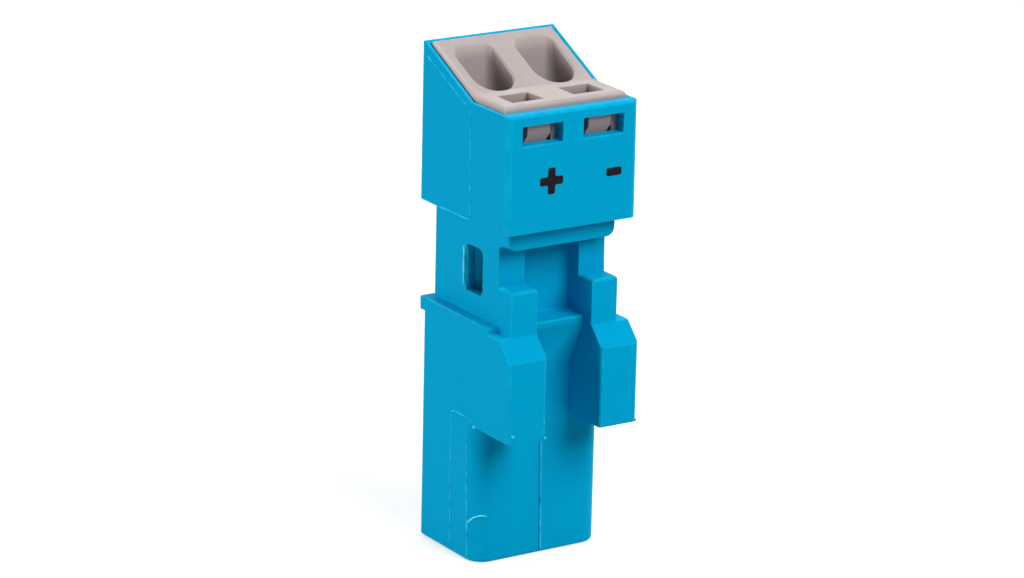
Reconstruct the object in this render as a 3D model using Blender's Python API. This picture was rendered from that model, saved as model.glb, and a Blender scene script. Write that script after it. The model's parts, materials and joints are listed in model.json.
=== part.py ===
"""Two-pole pluggable push-in wire connector, standing on its mating end.

Metres, +Z up. X runs across the two poles, the front with the catch faces -Y, the
origin is the bottom centre of the bounding box. A depth is a distance from the back plane.
"""
import math

import bmesh
import bpy
from mathutils import Vector

# Poles
POLE_PITCH = 0.0044
POLES = (("plus", -1), ("minus", 1))

# Mating sleeve with the pins inside
SLEEVE_WIDTH = 0.00927
SLEEVE_DEPTH = 0.0065
SLEEVE_HEIGHT = 0.0157
SLEEVE_WALL = 0.0009
SLEEVE_FRONT_RADIUS = 0.0012
SLEEVE_BACK_RADIUS = 0.0002
SLEEVE_MOUTH_ROUND = 0.00015
SHROUD_DEPTH = 0.0126
PARTITION = 0.0012
COLLAR_HEIGHT = 0.00085
BACK_INSET = 0.00047

# Neck with the recess for the mating latch
NECK_WIDTH = 0.00775
NECK_DEPTH = 0.0073
NECK_HEIGHT = 0.00625
RECESS_WIDTH = 0.00397
RECESS_DEPTH = 0.0012
FLANGE_REACH = 0.00107
FLANGE_HEIGHT = 0.0013
FLANGE_CORNER = 0.0006
SIDE_WINDOW_DEPTH = 0.0018
SIDE_WINDOW_HEIGHT = 0.00295
SIDE_WINDOW_SILL = 0.00135
SIDE_WINDOW_BACK = 0.00415
SIDE_WINDOW_CORNER = 0.0004
SIDE_WINDOW_CHAMFER = 0.0002
CHAMFER_INSET = 0.0003

# Head
HEAD_WIDTH = 0.00945
HEAD_DEPTH = 0.0098
HEAD_FRONT_HEIGHT = 0.00745
HEAD_BACK_RISE = 0.00275
HEAD_FLAT = 0.00415
HEAD_SIDE_WALL = 0.0008
HEAD_FRONT_WALL = 0.00085
HEAD_BACK_WALL = 0.0009
RIM_WALL = 0.00025
BACK_RIM_WALL = 0.0004
REBATE_DEPTH = 0.0012
HEAD_EDGE_ROUND = 0.00035
HEAD_RIM_ROUND = 0.0002
HEAD_BACK_ROUND = 0.0001
HEAD_TOP_ROUND = 0.00035
LATCH_WINDOW_WIDTH = 0.00291
LATCH_WINDOW_HEIGHT = 0.00123
LATCH_WINDOW_DROP = 0.00072

# Guide arms and catch on the front of the sleeve
ARM_REACH = 0.00358
ARM_BOTTOM = 0.00897
ARM_TOP_DROP = 0.00038
ARM_CHAMFER = 0.00122
ARM_LEDGE = 0.00095
ARM_EDGE_ROUND = 0.0002
POST_HEIGHT = 0.0025
POST_ROUND = 0.0002
CATCH_REACH = 0.00142
CATCH_LAND = 0.00055
CATCH_RAMP = 0.0034
CATCH_ROUND = 0.0001

# Wire entry insert
INSERT_PROUD = 0.00037
SLOPE_PROUD = 0.0002
INSERT_DEPTH = 0.0039
INSERT_ROUND = 0.00028
INSERT_CLEARANCE = 0.00005
FUNNEL_WIDTH = 0.00275
FUNNEL_LENGTH = 0.0039
FUNNEL_FRONT = 0.00525
FUNNEL_BACK_RADIUS = 0.0006
FUNNEL_FLARE = 0.00012
WIRE_HOLE = 0.0019
SLOT_WIDTH = 0.0022
SLOT_LENGTH = 0.0018
SNAP_ARM = 0.00085
NUB_WIDTH = 0.00166
NUB_SLOPE = 0.00045
NUB_REACH = 0.00042
SLIT_WIDTH = 0.00028

# Contacts
CONTACT_WIDTH = 0.0019
CONTACT_THICKNESS = 0.0008
CONTACT_DEPTH = 0.00265
CONTACT_TOP_GAP = 0.00117
BLADE_WIDTH = 0.0013
BLADE_LENGTH = 0.0094
BLADE_TIP_ROUND = 0.00026
SEAT_CLEARANCE = 0.0001

# Clamp springs
SPRING_THICKNESS = 0.0003
SPRING_WIDTH = 0.0018
BEND_RADIUS = 0.0007
BEND_TOP_GAP = 0.00042
FOOT_LENGTH = 0.0018
FOOT_RADIUS = 0.0004
TIP_GAP = 0.0001
TIP_DROP = 0.0037
BEND_SPLIT = math.radians(95)
SPLIT_GAP = math.radians(9)

# Chamber that holds a contact and its spring
CHAMBER_WALL = 0.0005
WELL_FLOOR = 0.00045
WELL_WALL = 0.001
WELL_SLOPE = 0.00093
WELL_SLOPE_DROP = 0.0015

# Drawing aids
ARC_STEPS = 5
FUNNEL_STEPS = 8
EDGE_STEPS = 3
OVERLAP = 0.0003
SAME_PLACE = 0.00003
ARC_SHARE = 0.499
SHARP_ANGLE = math.radians(35)

# Levels and places worked out from the sizes above
ARM_FRONT = BACK_INSET + SLEEVE_DEPTH + ARM_REACH
BACK = max(ARM_FRONT, HEAD_DEPTH) / 2
SLEEVE_FRONT = BACK_INSET + SLEEVE_DEPTH
NECK_FRONT = BACK_INSET + NECK_DEPTH
RECESS_BACK = NECK_FRONT - RECESS_DEPTH
HEAD_BOTTOM = SLEEVE_HEIGHT + NECK_HEIGHT
RIM = HEAD_BOTTOM + HEAD_FRONT_HEIGHT
KINK = HEAD_DEPTH - HEAD_FLAT
CHAMBER_FLOOR = SHROUD_DEPTH + PARTITION
CHAMBER_FRONT = min(RECESS_BACK, SLEEVE_FRONT) - CHAMBER_WALL
CHAMBER_WIDTH = max(CONTACT_WIDTH, SPRING_WIDTH) + 2 * SEAT_CLEARANCE
WELL_LEVEL = HEAD_BOTTOM + WELL_FLOOR
WELL_FRONT = HEAD_DEPTH - WELL_WALL
INSERT_TOP = RIM + INSERT_PROUD
INSERT_BOTTOM = INSERT_TOP - INSERT_DEPTH
POCKET_LEVEL = INSERT_BOTTOM - INSERT_CLEARANCE
INSERT_FRONT = HEAD_DEPTH - HEAD_FRONT_WALL - INSERT_CLEARANCE
PLATE_BACK = BACK_RIM_WALL + INSERT_CLEARANCE
PLATE_HALF = HEAD_WIDTH / 2 - RIM_WALL - INSERT_CLEARANCE
CORE_BACK = HEAD_BACK_WALL + INSERT_CLEARANCE
CORE_HALF = HEAD_WIDTH / 2 - HEAD_SIDE_WALL - INSERT_CLEARANCE
SLOT_FRONT = INSERT_FRONT - SNAP_ARM
WINDOW_TOP = RIM - LATCH_WINDOW_DROP
WINDOW_BOTTOM = WINDOW_TOP - LATCH_WINDOW_HEIGHT
BLADE_DEPTH = BACK_INSET + SLEEVE_DEPTH / 2
CONTACT_SEAT = CHAMBER_FLOOR + SEAT_CLEARANCE
CONTACT_FACE = CONTACT_DEPTH + CONTACT_THICKNESS
CONTACT_TOP = INSERT_BOTTOM - CONTACT_TOP_GAP
LEG_DEPTH = WELL_FRONT - SEAT_CLEARANCE - SPRING_THICKNESS / 2
HINGE_DEPTH = LEG_DEPTH - BEND_RADIUS
HINGE_LEVEL = INSERT_BOTTOM - BEND_TOP_GAP - SPRING_THICKNESS / 2 - BEND_RADIUS
TIP_DEPTH = CONTACT_FACE + TIP_GAP + SPRING_THICKNESS / 2


def y_at(depth):
    """Y of a point that lies this far in front of the back plane."""
    return BACK - depth


def clear_scene():
    for item in list(bpy.data.objects):
        bpy.data.objects.remove(item)


def make_material(name, colour, roughness, metallic):
    material = bpy.data.materials.new(name)
    material.use_nodes = True
    shader = material.node_tree.nodes["Principled BSDF"]
    shader.inputs["Base Color"].default_value = (*colour, 1.0)
    shader.inputs["Roughness"].default_value = roughness
    shader.inputs["Metallic"].default_value = metallic
    return material


def add_object(name, bm):
    """Turn a bmesh into an object with its faces pointing outwards."""
    bmesh.ops.recalc_face_normals(bm, faces=bm.faces[:])
    mesh = bpy.data.meshes.new(name)
    bm.to_mesh(mesh)
    bm.free()
    item = bpy.data.objects.new(name, mesh)
    bpy.context.scene.collection.objects.link(item)
    return item


def round_outline(corners, steps=ARC_STEPS):
    """Polygon whose corners (a, b, radius) become arcs, each limited by its two sides."""
    points = []
    for index, (a, b, radius) in enumerate(corners):
        corner = Vector((a, b))
        before = Vector(corners[index - 1][:2]) - corner
        after = Vector(corners[(index + 1) % len(corners)][:2]) - corner
        half_angle = before.angle(after) / 2
        longest = ARC_SHARE * min(before.length, after.length)
        reach = min(radius / math.tan(half_angle), longest)
        if reach <= 0:
            points.append(corner)
            continue
        limited = reach * math.tan(half_angle)
        middle = (before.normalized() + after.normalized()).normalized()
        centre = corner + middle * (limited / math.sin(half_angle))
        start = corner + before.normalized() * reach - centre
        turn = start.angle_signed(corner + after.normalized() * reach - centre)
        for step in range(steps + 1):
            swing = -turn * step / steps
            spoke = Vector((start.x * math.cos(swing) - start.y * math.sin(swing),
                            start.x * math.sin(swing) + start.y * math.cos(swing)))
            points.append(centre + spoke)
    return points


def prism(name, outline, axis, low, high):
    """Solid with a flat outline, drawn out along one axis between two levels."""
    place = {
        "X": lambda point, level: (level, point[0], point[1]),
        "Y": lambda point, level: (point[0], level, point[1]),
        "Z": lambda point, level: (point[0], point[1], level),
    }[axis]
    bm = bmesh.new()
    ends = [[bm.verts.new(place(point, level)) for point in outline] for level in (low, high)]
    count = len(outline)
    for end in ends:
        bm.faces.new(end)
    for index in range(count):
        following = (index + 1) % count
        bm.faces.new((ends[0][index], ends[0][following], ends[1][following], ends[1][index]))
    return add_object(name, bm)


def loft(name, rings):
    """Solid through closed rings of as many points each."""
    bm = bmesh.new()
    loops = [[bm.verts.new(point) for point in ring] for ring in rings]
    count = len(rings[0])
    bm.faces.new(loops[0])
    bm.faces.new(loops[-1])
    for lower, upper in zip(loops, loops[1:]):
        for index in range(count):
            following = (index + 1) % count
            bm.faces.new((lower[index], lower[following], upper[following], upper[index]))
    return add_object(name, bm)


def block(name, x_range, depth_range, z_range):
    """Box between two X values, two depths and two levels."""
    corners = [(y_at(depth_range[0]), z_range[0]), (y_at(depth_range[1]), z_range[0]),
               (y_at(depth_range[1]), z_range[1]), (y_at(depth_range[0]), z_range[1])]
    return prism(name, corners, "X", *x_range)


def side_prism(name, corners, x_range, steps=ARC_STEPS):
    """Solid with a side outline of (depth, level, radius) corners, drawn out along X."""
    outline = round_outline([(y_at(depth), level, radius) for depth, level, radius in corners], steps)
    return prism(name, outline, "X", *x_range)


def round_edges(item, wanted, radius, steps=EDGE_STEPS):
    """Round the edges whose two ends pass a test."""
    bm = bmesh.new()
    bm.from_mesh(item.data)
    edges = [edge for edge in bm.edges if wanted(edge.verts[0].co, edge.verts[1].co)]
    bmesh.ops.bevel(bm, geom=edges, offset=radius, segments=steps, profile=0.5,
                    affect="EDGES", clamp_overlap=True)
    bm.to_mesh(item.data)
    bm.free()
    return item


def settle(item):
    """Make what an object's modifiers show its own mesh."""
    shown = item.evaluated_get(bpy.context.evaluated_depsgraph_get())
    settled = bpy.data.meshes.new_from_object(shown)
    item.modifiers.clear()
    item.data = settled
    return item


def round_by(item, radius_of, steps):
    """Round all edges in one go, each by the radius that a rule gives for its two ends."""
    bm = bmesh.new()
    bm.from_mesh(item.data)
    share = bm.edges.layers.float.new("bevel_weight_edge")
    radii = [radius_of(edge.verts[0].co, edge.verts[1].co) for edge in bm.edges]
    for edge, radius in zip(bm.edges, radii):
        edge[share] = radius / max(radii)
    bm.to_mesh(item.data)
    bm.free()
    modifier = item.modifiers.new("round", "BEVEL")
    modifier.limit_method = "WEIGHT"
    modifier.width = max(radii)
    modifier.segments = steps
    return settle(item)


def combine(item, tool, operation):
    """Join a tool to an object, or cut it out, and drop the tool."""
    modifier = item.modifiers.new(operation, "BOOLEAN")
    modifier.operation = operation
    modifier.solver = "EXACT"
    modifier.object = tool
    settle(item)
    bpy.data.objects.remove(tool)
    return item


def finish(item, name, material):
    """Name a piece, give it its material and shade its round faces smooth."""
    item.name = name
    item.data.name = name
    item.data.materials.clear()
    item.data.materials.append(material)
    item.data.shade_smooth()
    item.data.set_sharp_from_angle(angle=SHARP_ANGLE)
    return item


def pole_x(side):
    return side * POLE_PITCH / 2


def about(centre, width):
    """The two edges of something this wide about a centre."""
    return centre - width / 2, centre + width / 2


def same(*values):
    """Whether values agree as closely as two points of one edge do."""
    return max(values) - min(values) < SAME_PLACE


def sleeve_outline(inset):
    """Plan of the sleeve, or of its cavity when drawn in by the wall."""
    half = SLEEVE_WIDTH / 2 - inset
    back = y_at(BACK_INSET + inset)
    front = y_at(SLEEVE_FRONT - inset)
    front_radius = max(SLEEVE_FRONT_RADIUS - inset, SLEEVE_BACK_RADIUS)
    return round_outline([(-half, back, SLEEVE_BACK_RADIUS), (-half, front, front_radius),
                          (half, front, front_radius), (half, back, SLEEVE_BACK_RADIUS)])


def make_sleeve():
    sleeve = prism("sleeve", sleeve_outline(0), "Z", 0, SLEEVE_HEIGHT)
    round_edges(sleeve, lambda a, b: max(a.z, b.z) < OVERLAP, SLEEVE_MOUTH_ROUND, 2)
    half = SLEEVE_WIDTH / 2
    collar = block("collar", (-half, half), (0, BACK_INSET + OVERLAP),
                   (SLEEVE_HEIGHT - COLLAR_HEIGHT, SLEEVE_HEIGHT))
    return combine(sleeve, collar, "UNION")


def make_neck():
    """Neck and flange in one side outline, with the latch recess cut into the front."""
    half = NECK_WIDTH / 2
    flange_front = NECK_FRONT + FLANGE_REACH
    flange_bottom = HEAD_BOTTOM - FLANGE_HEIGHT
    neck = side_prism("neck", [
        (BACK_INSET, SLEEVE_HEIGHT - OVERLAP, 0),
        (NECK_FRONT, SLEEVE_HEIGHT - OVERLAP, 0),
        (NECK_FRONT, flange_bottom, 0),
        (flange_front, flange_bottom, 0),
        (flange_front, HEAD_BOTTOM + OVERLAP, 0),
        (BACK_INSET, HEAD_BOTTOM + OVERLAP, 0)], (-half, half))
    middle_y = y_at(NECK_FRONT + FLANGE_REACH / 2)

    def flange_corner(a, b):
        """Lower side edges of the flange."""
        along_y = abs(a.y - b.y) > FLANGE_REACH / 2 and same(a.x, b.x)
        return along_y and same(a.z, b.z, flange_bottom) and min(a.y, b.y) < middle_y

    round_edges(neck, flange_corner, FLANGE_CORNER, ARC_STEPS)
    recess = block("recess", about(0, RECESS_WIDTH), (RECESS_BACK, flange_front + OVERLAP),
                   (SLEEVE_HEIGHT - 2 * OVERLAP, flange_bottom))
    return combine(neck, recess, "DIFFERENCE")


def head_slope(depth):
    """Level of the head's rim at a depth: flat in front, rising to the back."""
    return RIM + HEAD_BACK_RISE * max(0.0, 1 - depth / KINK)


def make_head():
    head = side_prism("head", [
        (0, HEAD_BOTTOM, 0),
        (HEAD_DEPTH, HEAD_BOTTOM, 0),
        (HEAD_DEPTH, RIM, 0),
        (KINK, RIM, 0),
        (0, RIM + HEAD_BACK_RISE, 0)], about(0, HEAD_WIDTH))
    middle = HEAD_BOTTOM + HEAD_FRONT_HEIGHT / 2

    def edge_round(a, b):
        """Rounding of an edge: uprights and rim, at the front and at the back."""
        upright = same(a.x, b.x)
        if same(a.y, b.y, y_at(HEAD_DEPTH)) and max(a.z, b.z) > middle:
            return HEAD_EDGE_ROUND if upright else HEAD_RIM_ROUND
        if same(a.y, b.y, y_at(0)) and max(a.z, b.z) > middle:
            return HEAD_BACK_ROUND if upright else HEAD_TOP_ROUND
        return 0

    return round_by(head, edge_round, ARC_STEPS)


def make_arm_bar(inner):
    """Bar of a guide arm: chamfered at the top front, with a ledge behind."""
    back = SLEEVE_FRONT - OVERLAP
    top = SLEEVE_HEIGHT - ARM_TOP_DROP
    ledge_end = SLEEVE_FRONT + ARM_LEDGE
    bar = side_prism("arm", [
        (back, ARM_BOTTOM, 0),
        (ARM_FRONT, ARM_BOTTOM, 0),
        (ARM_FRONT, top - ARM_CHAMFER, 0),
        (ARM_FRONT - ARM_CHAMFER, top, 0),
        (ledge_end, top, 0),
        (ledge_end, SLEEVE_HEIGHT, ARM_TOP_DROP / 2),
        (back, SLEEVE_HEIGHT, 0)], (inner, HEAD_WIDTH / 2))

    def front_edge(a, b):
        """Upright edges of the front face."""
        return same(a.y, b.y, y_at(ARM_FRONT)) and same(a.x, b.x)

    return round_edges(bar, front_edge, ARM_EDGE_ROUND)


def make_post(inner):
    """Post that stands on a guide arm, flush with the neck's side, with a rounded top."""
    top = SLEEVE_HEIGHT + POST_HEIGHT
    post = block("post", (inner, NECK_WIDTH / 2), (RECESS_BACK, ARM_FRONT - ARM_CHAMFER),
                 (SLEEVE_HEIGHT - ARM_TOP_DROP - OVERLAP, top))
    return round_edges(post, lambda a, b: min(a.z, b.z) > top - OVERLAP, POST_ROUND)


def make_arm(side):
    """One guide arm with its post, drawn on the +X side and mirrored for the other."""
    inner = RECESS_WIDTH / 2
    arm = make_arm_bar(inner)
    root = SLEEVE_FRONT - SLEEVE_FRONT_RADIUS - OVERLAP
    shoulder = block("shoulder", (inner, SLEEVE_WIDTH / 2), (root, SLEEVE_FRONT),
                     (ARM_BOTTOM, SLEEVE_HEIGHT))
    combine(arm, shoulder, "UNION")
    combine(arm, make_post(inner), "UNION")
    for vertex in arm.data.vertices:
        vertex.co.x *= side
    if side < 0:
        arm.data.flip_normals()
    return arm


def make_catch():
    """Wedge between the arms that the mating latch snaps behind."""
    return side_prism("catch", [
        (RECESS_BACK - OVERLAP, SLEEVE_HEIGHT, 0),
        (SLEEVE_FRONT + CATCH_REACH, SLEEVE_HEIGHT, CATCH_ROUND),
        (SLEEVE_FRONT + CATCH_REACH, SLEEVE_HEIGHT - CATCH_LAND, 0),
        (SLEEVE_FRONT, SLEEVE_HEIGHT - CATCH_RAMP, 0),
        (RECESS_BACK - OVERLAP, SLEEVE_HEIGHT - CATCH_RAMP, 0)],
        about(0, RECESS_WIDTH + OVERLAP))


def cut_chamber(housing, side):
    """Chamber in the neck and well in the head for one contact and its spring."""
    chamber = side_prism("chamber", [
        (CONTACT_DEPTH - SEAT_CLEARANCE, CHAMBER_FLOOR, 0),
        (CHAMBER_FRONT, CHAMBER_FLOOR, 0),
        (CHAMBER_FRONT, WELL_LEVEL - WELL_SLOPE_DROP, 0),
        (CHAMBER_FRONT + WELL_SLOPE, WELL_LEVEL, 0),
        (WELL_FRONT, WELL_LEVEL, FOOT_RADIUS),
        (WELL_FRONT, POCKET_LEVEL + OVERLAP, 0),
        (CONTACT_DEPTH - SEAT_CLEARANCE, POCKET_LEVEL + OVERLAP, 0)],
        about(pole_x(side), CHAMBER_WIDTH))
    combine(housing, chamber, "DIFFERENCE")
    half_slot = CONTACT_THICKNESS / 2 + SEAT_CLEARANCE
    blade_slot = block("blade_slot", about(pole_x(side), BLADE_WIDTH + 2 * SEAT_CLEARANCE),
                       (BLADE_DEPTH - half_slot, BLADE_DEPTH + half_slot),
                       (SHROUD_DEPTH - OVERLAP, CHAMBER_FLOOR + OVERLAP))
    combine(housing, blade_slot, "DIFFERENCE")


def cut_windows(housing, side):
    """Latch window in the head's front and viewing window in the neck's side."""
    latch_window = block("latch_window", about(pole_x(side), LATCH_WINDOW_WIDTH),
                         (HEAD_DEPTH - HEAD_FRONT_WALL - OVERLAP, HEAD_DEPTH + OVERLAP),
                         (WINDOW_BOTTOM, WINDOW_TOP))
    combine(housing, latch_window, "DIFFERENCE")
    sill = SLEEVE_HEIGHT + SIDE_WINDOW_SILL
    reach = sorted((pole_x(side), side * (NECK_WIDTH / 2 + OVERLAP)))
    side_window = side_prism("side_window", [
        (SIDE_WINDOW_BACK, sill, 0),
        (SIDE_WINDOW_BACK + SIDE_WINDOW_DEPTH, sill, SIDE_WINDOW_CORNER),
        (SIDE_WINDOW_BACK + SIDE_WINDOW_DEPTH, sill + SIDE_WINDOW_HEIGHT, SIDE_WINDOW_CORNER),
        (SIDE_WINDOW_BACK, sill + SIDE_WINDOW_HEIGHT, 0)], reach)
    combine(housing, side_window, "DIFFERENCE")
    face = side * NECK_WIDTH / 2
    inward = face - side * SIDE_WINDOW_CHAMFER
    ease = prism("ease", [
        (face, y_at(SIDE_WINDOW_BACK - SIDE_WINDOW_CHAMFER)),
        (inward, y_at(SIDE_WINDOW_BACK)),
        (inward, y_at(SIDE_WINDOW_BACK + OVERLAP)),
        (face + side * OVERLAP, y_at(SIDE_WINDOW_BACK + OVERLAP)),
        (face + side * OVERLAP, y_at(SIDE_WINDOW_BACK - SIDE_WINDOW_CHAMFER))],
        "Z", sill + CHAMFER_INSET, sill + SIDE_WINDOW_HEIGHT - CHAMFER_INSET)
    combine(housing, ease, "DIFFERENCE")


def cut_pocket(housing):
    """Pocket for the insert's core, and the wider rebate that its plate lies in."""
    pocket_front = HEAD_DEPTH - HEAD_FRONT_WALL
    above = RIM + HEAD_BACK_RISE + OVERLAP
    pocket = block("pocket", about(0, HEAD_WIDTH - 2 * HEAD_SIDE_WALL), (HEAD_BACK_WALL, pocket_front),
                   (POCKET_LEVEL, above))
    combine(housing, pocket, "DIFFERENCE")
    rebate = side_prism("rebate", [
        (BACK_RIM_WALL, head_slope(BACK_RIM_WALL) - REBATE_DEPTH, 0),
        (KINK, RIM - REBATE_DEPTH, 0),
        (pocket_front, RIM - REBATE_DEPTH, 0),
        (pocket_front, above, 0),
        (BACK_RIM_WALL, above, 0)], about(0, HEAD_WIDTH - 2 * RIM_WALL))
    combine(housing, rebate, "DIFFERENCE")


def make_housing(material):
    housing = make_sleeve()
    combine(housing, make_neck(), "UNION")
    combine(housing, make_head(), "UNION")
    combine(housing, make_catch(), "UNION")
    for _, side in POLES:
        combine(housing, make_arm(side), "UNION")
    shroud = prism("shroud", sleeve_outline(SLEEVE_WALL), "Z", -OVERLAP, SHROUD_DEPTH)
    combine(housing, shroud, "DIFFERENCE")
    cut_pocket(housing)
    for _, side in POLES:
        cut_chamber(housing, side)
        cut_windows(housing, side)
    return finish(housing, "housing", material)


def insert_top(depth):
    """Level of the insert's top: flat in front, then a slope that stands less proud of the rim."""
    return max(INSERT_TOP, head_slope(depth) + SLOPE_PROUD)


def funnel_ring(side, outset, level):
    """Closed ring of the funnel's mouth, grown by an outset, at a level given by depth."""
    front = FUNNEL_FRONT + outset
    back = FUNNEL_FRONT - FUNNEL_LENGTH - outset
    half = FUNNEL_WIDTH / 2 + outset
    return ring_points(side, half, back, front, FUNNEL_BACK_RADIUS + outset, half, level)


def ring_points(side, half, back, front, back_radius, front_radius, level):
    """Points of a rounded mouth about a pole, each at the level of its depth."""
    outline = round_outline([(-half, back, back_radius), (half, back, back_radius),
                             (half, front, front_radius), (-half, front, front_radius)], FUNNEL_STEPS)
    return [(pole_x(side) + point.x, y_at(point.y), level(point.y)) for point in outline]


def make_funnel(side):
    """Cutter that narrows from the wide mouth to the wire hole under its front end."""
    hole = WIRE_HOLE / 2
    mouth = funnel_ring(side, OVERLAP + FUNNEL_FLARE, lambda depth: insert_top(depth) + OVERLAP)
    throat = funnel_ring(side, 0, lambda depth: insert_top(depth) - FUNNEL_FLARE)
    exit_ring = ring_points(side, hole, FUNNEL_FRONT - WIRE_HOLE, FUNNEL_FRONT, hole, hole,
                            lambda depth: INSERT_BOTTOM - OVERLAP)
    return loft("funnel", [exit_ring, throat, mouth])


def make_nub(side):
    """Snap nub on the insert's front face, square above and sloping below."""
    top = WINDOW_TOP - INSERT_CLEARANCE
    bottom = WINDOW_BOTTOM + INSERT_CLEARANCE
    return side_prism("nub", [
        (INSERT_FRONT - OVERLAP, top, 0),
        (INSERT_FRONT + NUB_REACH, top, 0),
        (INSERT_FRONT + NUB_REACH, bottom + NUB_SLOPE, 0),
        (INSERT_FRONT, bottom, 0),
        (INSERT_FRONT - OVERLAP, bottom, 0)], about(pole_x(side), NUB_WIDTH))


def cut_snap_arm(insert, side):
    """Release slot behind the front wall, and two slits that free the arm with the nub."""
    slot = block("slot", about(pole_x(side), SLOT_WIDTH), (SLOT_FRONT - SLOT_LENGTH, SLOT_FRONT),
                 (INSERT_BOTTOM - OVERLAP, INSERT_TOP + OVERLAP))
    combine(insert, slot, "DIFFERENCE")
    for edge in (-1, 1):
        middle = pole_x(side) + edge * (NUB_WIDTH + SLIT_WIDTH) / 2
        slit = block("slit", about(middle, SLIT_WIDTH), (SLOT_FRONT - OVERLAP, INSERT_FRONT + OVERLAP),
                     (INSERT_BOTTOM - OVERLAP, WINDOW_TOP))
        combine(insert, slit, "DIFFERENCE")


def make_insert(material):
    """Plate that closes the head, over a core that reaches down to the springs."""
    kink = KINK * (1 - (INSERT_PROUD - SLOPE_PROUD) / HEAD_BACK_RISE)
    under = REBATE_DEPTH - INSERT_CLEARANCE
    insert = side_prism("insert", [
        (PLATE_BACK, head_slope(PLATE_BACK) - under, 0),
        (KINK, RIM - under, 0),
        (INSERT_FRONT, RIM - under, 0),
        (INSERT_FRONT, INSERT_TOP, 0),
        (kink, INSERT_TOP, 0),
        (PLATE_BACK, insert_top(PLATE_BACK), 0)], (-PLATE_HALF, PLATE_HALF))

    def top_edge(a, b):
        """Edges round the top, without the line across the kink."""
        across_kink = same(a.y, b.y, y_at(kink))
        on_top = all(end.z > head_slope(BACK - end.y) - under / 2 for end in (a, b))
        return on_top and not across_kink

    round_edges(insert, top_edge, INSERT_ROUND)
    core = side_prism("core", [
        (CORE_BACK, INSERT_BOTTOM, 0),
        (INSERT_FRONT, INSERT_BOTTOM, 0),
        (INSERT_FRONT, RIM - under / 2, 0),
        (KINK, RIM - under / 2, 0),
        (CORE_BACK, head_slope(CORE_BACK) - under / 2, 0)], (-CORE_HALF, CORE_HALF))
    combine(insert, core, "UNION")
    for _, side in POLES:
        combine(insert, make_funnel(side), "DIFFERENCE")
        combine(insert, make_nub(side), "UNION")
        cut_snap_arm(insert, side)
    return finish(insert, "wire_entry_insert", material)


def make_contact(pole, side, material):
    """Stamped bar: a wide leg beside the wire, a joggle and a narrow blade pin."""
    joggle_top = CONTACT_SEAT + 2 * CONTACT_THICKNESS
    half = CONTACT_THICKNESS / 2
    blade_back = BLADE_DEPTH - half
    blade_front = BLADE_DEPTH + half
    leg = side_prism("leg", [
        (CONTACT_DEPTH, CONTACT_TOP, half / 2),
        (CONTACT_FACE, CONTACT_TOP, half / 2),
        (CONTACT_FACE, joggle_top, half),
        (blade_front, joggle_top - CONTACT_THICKNESS, half),
        (blade_front, CONTACT_SEAT, 0),
        (blade_back, CONTACT_SEAT, 0),
        (CONTACT_DEPTH, joggle_top - CONTACT_THICKNESS, half)],
        about(pole_x(side), CONTACT_WIDTH), EDGE_STEPS)
    tip = CONTACT_SEAT - BLADE_LENGTH
    blade = block("blade", about(pole_x(side), BLADE_WIDTH), (blade_back, blade_front),
                  (tip, CONTACT_SEAT + OVERLAP))
    round_edges(blade, lambda a, b: max(a.z, b.z) < tip + OVERLAP, BLADE_TIP_ROUND)
    return finish(combine(leg, blade, "UNION"), "contact_" + pole, material)


def arc(centre, radius, start, stop, steps):
    """Points of an arc in the side view, as (depth, level), both ends included."""
    swing = [start + (stop - start) * step / steps for step in range(steps + 1)]
    return [Vector((centre[0] + radius * math.cos(a), centre[1] + radius * math.sin(a))) for a in swing]


def strip(name, path, side, origin):
    """Flat spring strip that follows a path of (depth, level), about an origin."""
    sides = ([], [])
    for index, point in enumerate(path):
        along = path[min(index + 1, len(path) - 1)] - path[max(index - 1, 0)]
        across = Vector((-along.y, along.x)).normalized() * (SPRING_THICKNESS / 2)
        sides[0].append(point + across)
        sides[1].append(point - across)
    outline = [(y_at(point.x) - origin[1], point.y - origin[2]) for point in sides[0] + sides[1][::-1]]
    return prism(name, outline, "X", *about(pole_x(side) - origin[0], SPRING_WIDTH))


def tongue_angle():
    """Direction, on the bend's circle, where the straight tongue leaves it."""
    to_tip = Vector((TIP_DEPTH - HINGE_DEPTH, -TIP_DROP))
    return math.atan2(to_tip.y, to_tip.x) - math.acos(BEND_RADIUS / to_tip.length) + 2 * math.pi


def make_spring(pole, side, material):
    """Fixed end of the clamp spring: foot, front leg and the near half of the bend."""
    foot_level = WELL_LEVEL + SEAT_CLEARANCE + SPRING_THICKNESS / 2
    foot_centre = (LEG_DEPTH - FOOT_RADIUS, foot_level + FOOT_RADIUS)
    path = [Vector((LEG_DEPTH - FOOT_LENGTH, foot_level))]
    path += arc(foot_centre, FOOT_RADIUS, -math.pi / 2, 0, ARC_STEPS)
    path += arc((HINGE_DEPTH, HINGE_LEVEL), BEND_RADIUS, 0, BEND_SPLIT - SPLIT_GAP / 2, ARC_STEPS)
    return finish(strip("spring", path, side, (0, 0, 0)), "clamp_spring_" + pole, material)


def make_tongue(pole, side, material):
    """Flexing leg of the clamp spring; its origin is the middle of the bend."""
    start = BEND_SPLIT + SPLIT_GAP / 2
    bend = arc((HINGE_DEPTH, HINGE_LEVEL), BEND_RADIUS, start, tongue_angle(), ARC_STEPS)
    tip = Vector((TIP_DEPTH, HINGE_LEVEL - TIP_DROP))
    origin = (pole_x(side), y_at(HINGE_DEPTH), HINGE_LEVEL)
    tongue = strip("tongue", bend + [tip], side, origin)
    tongue.location = origin
    return finish(tongue, "clamp_tongue_" + pole, material)


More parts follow.
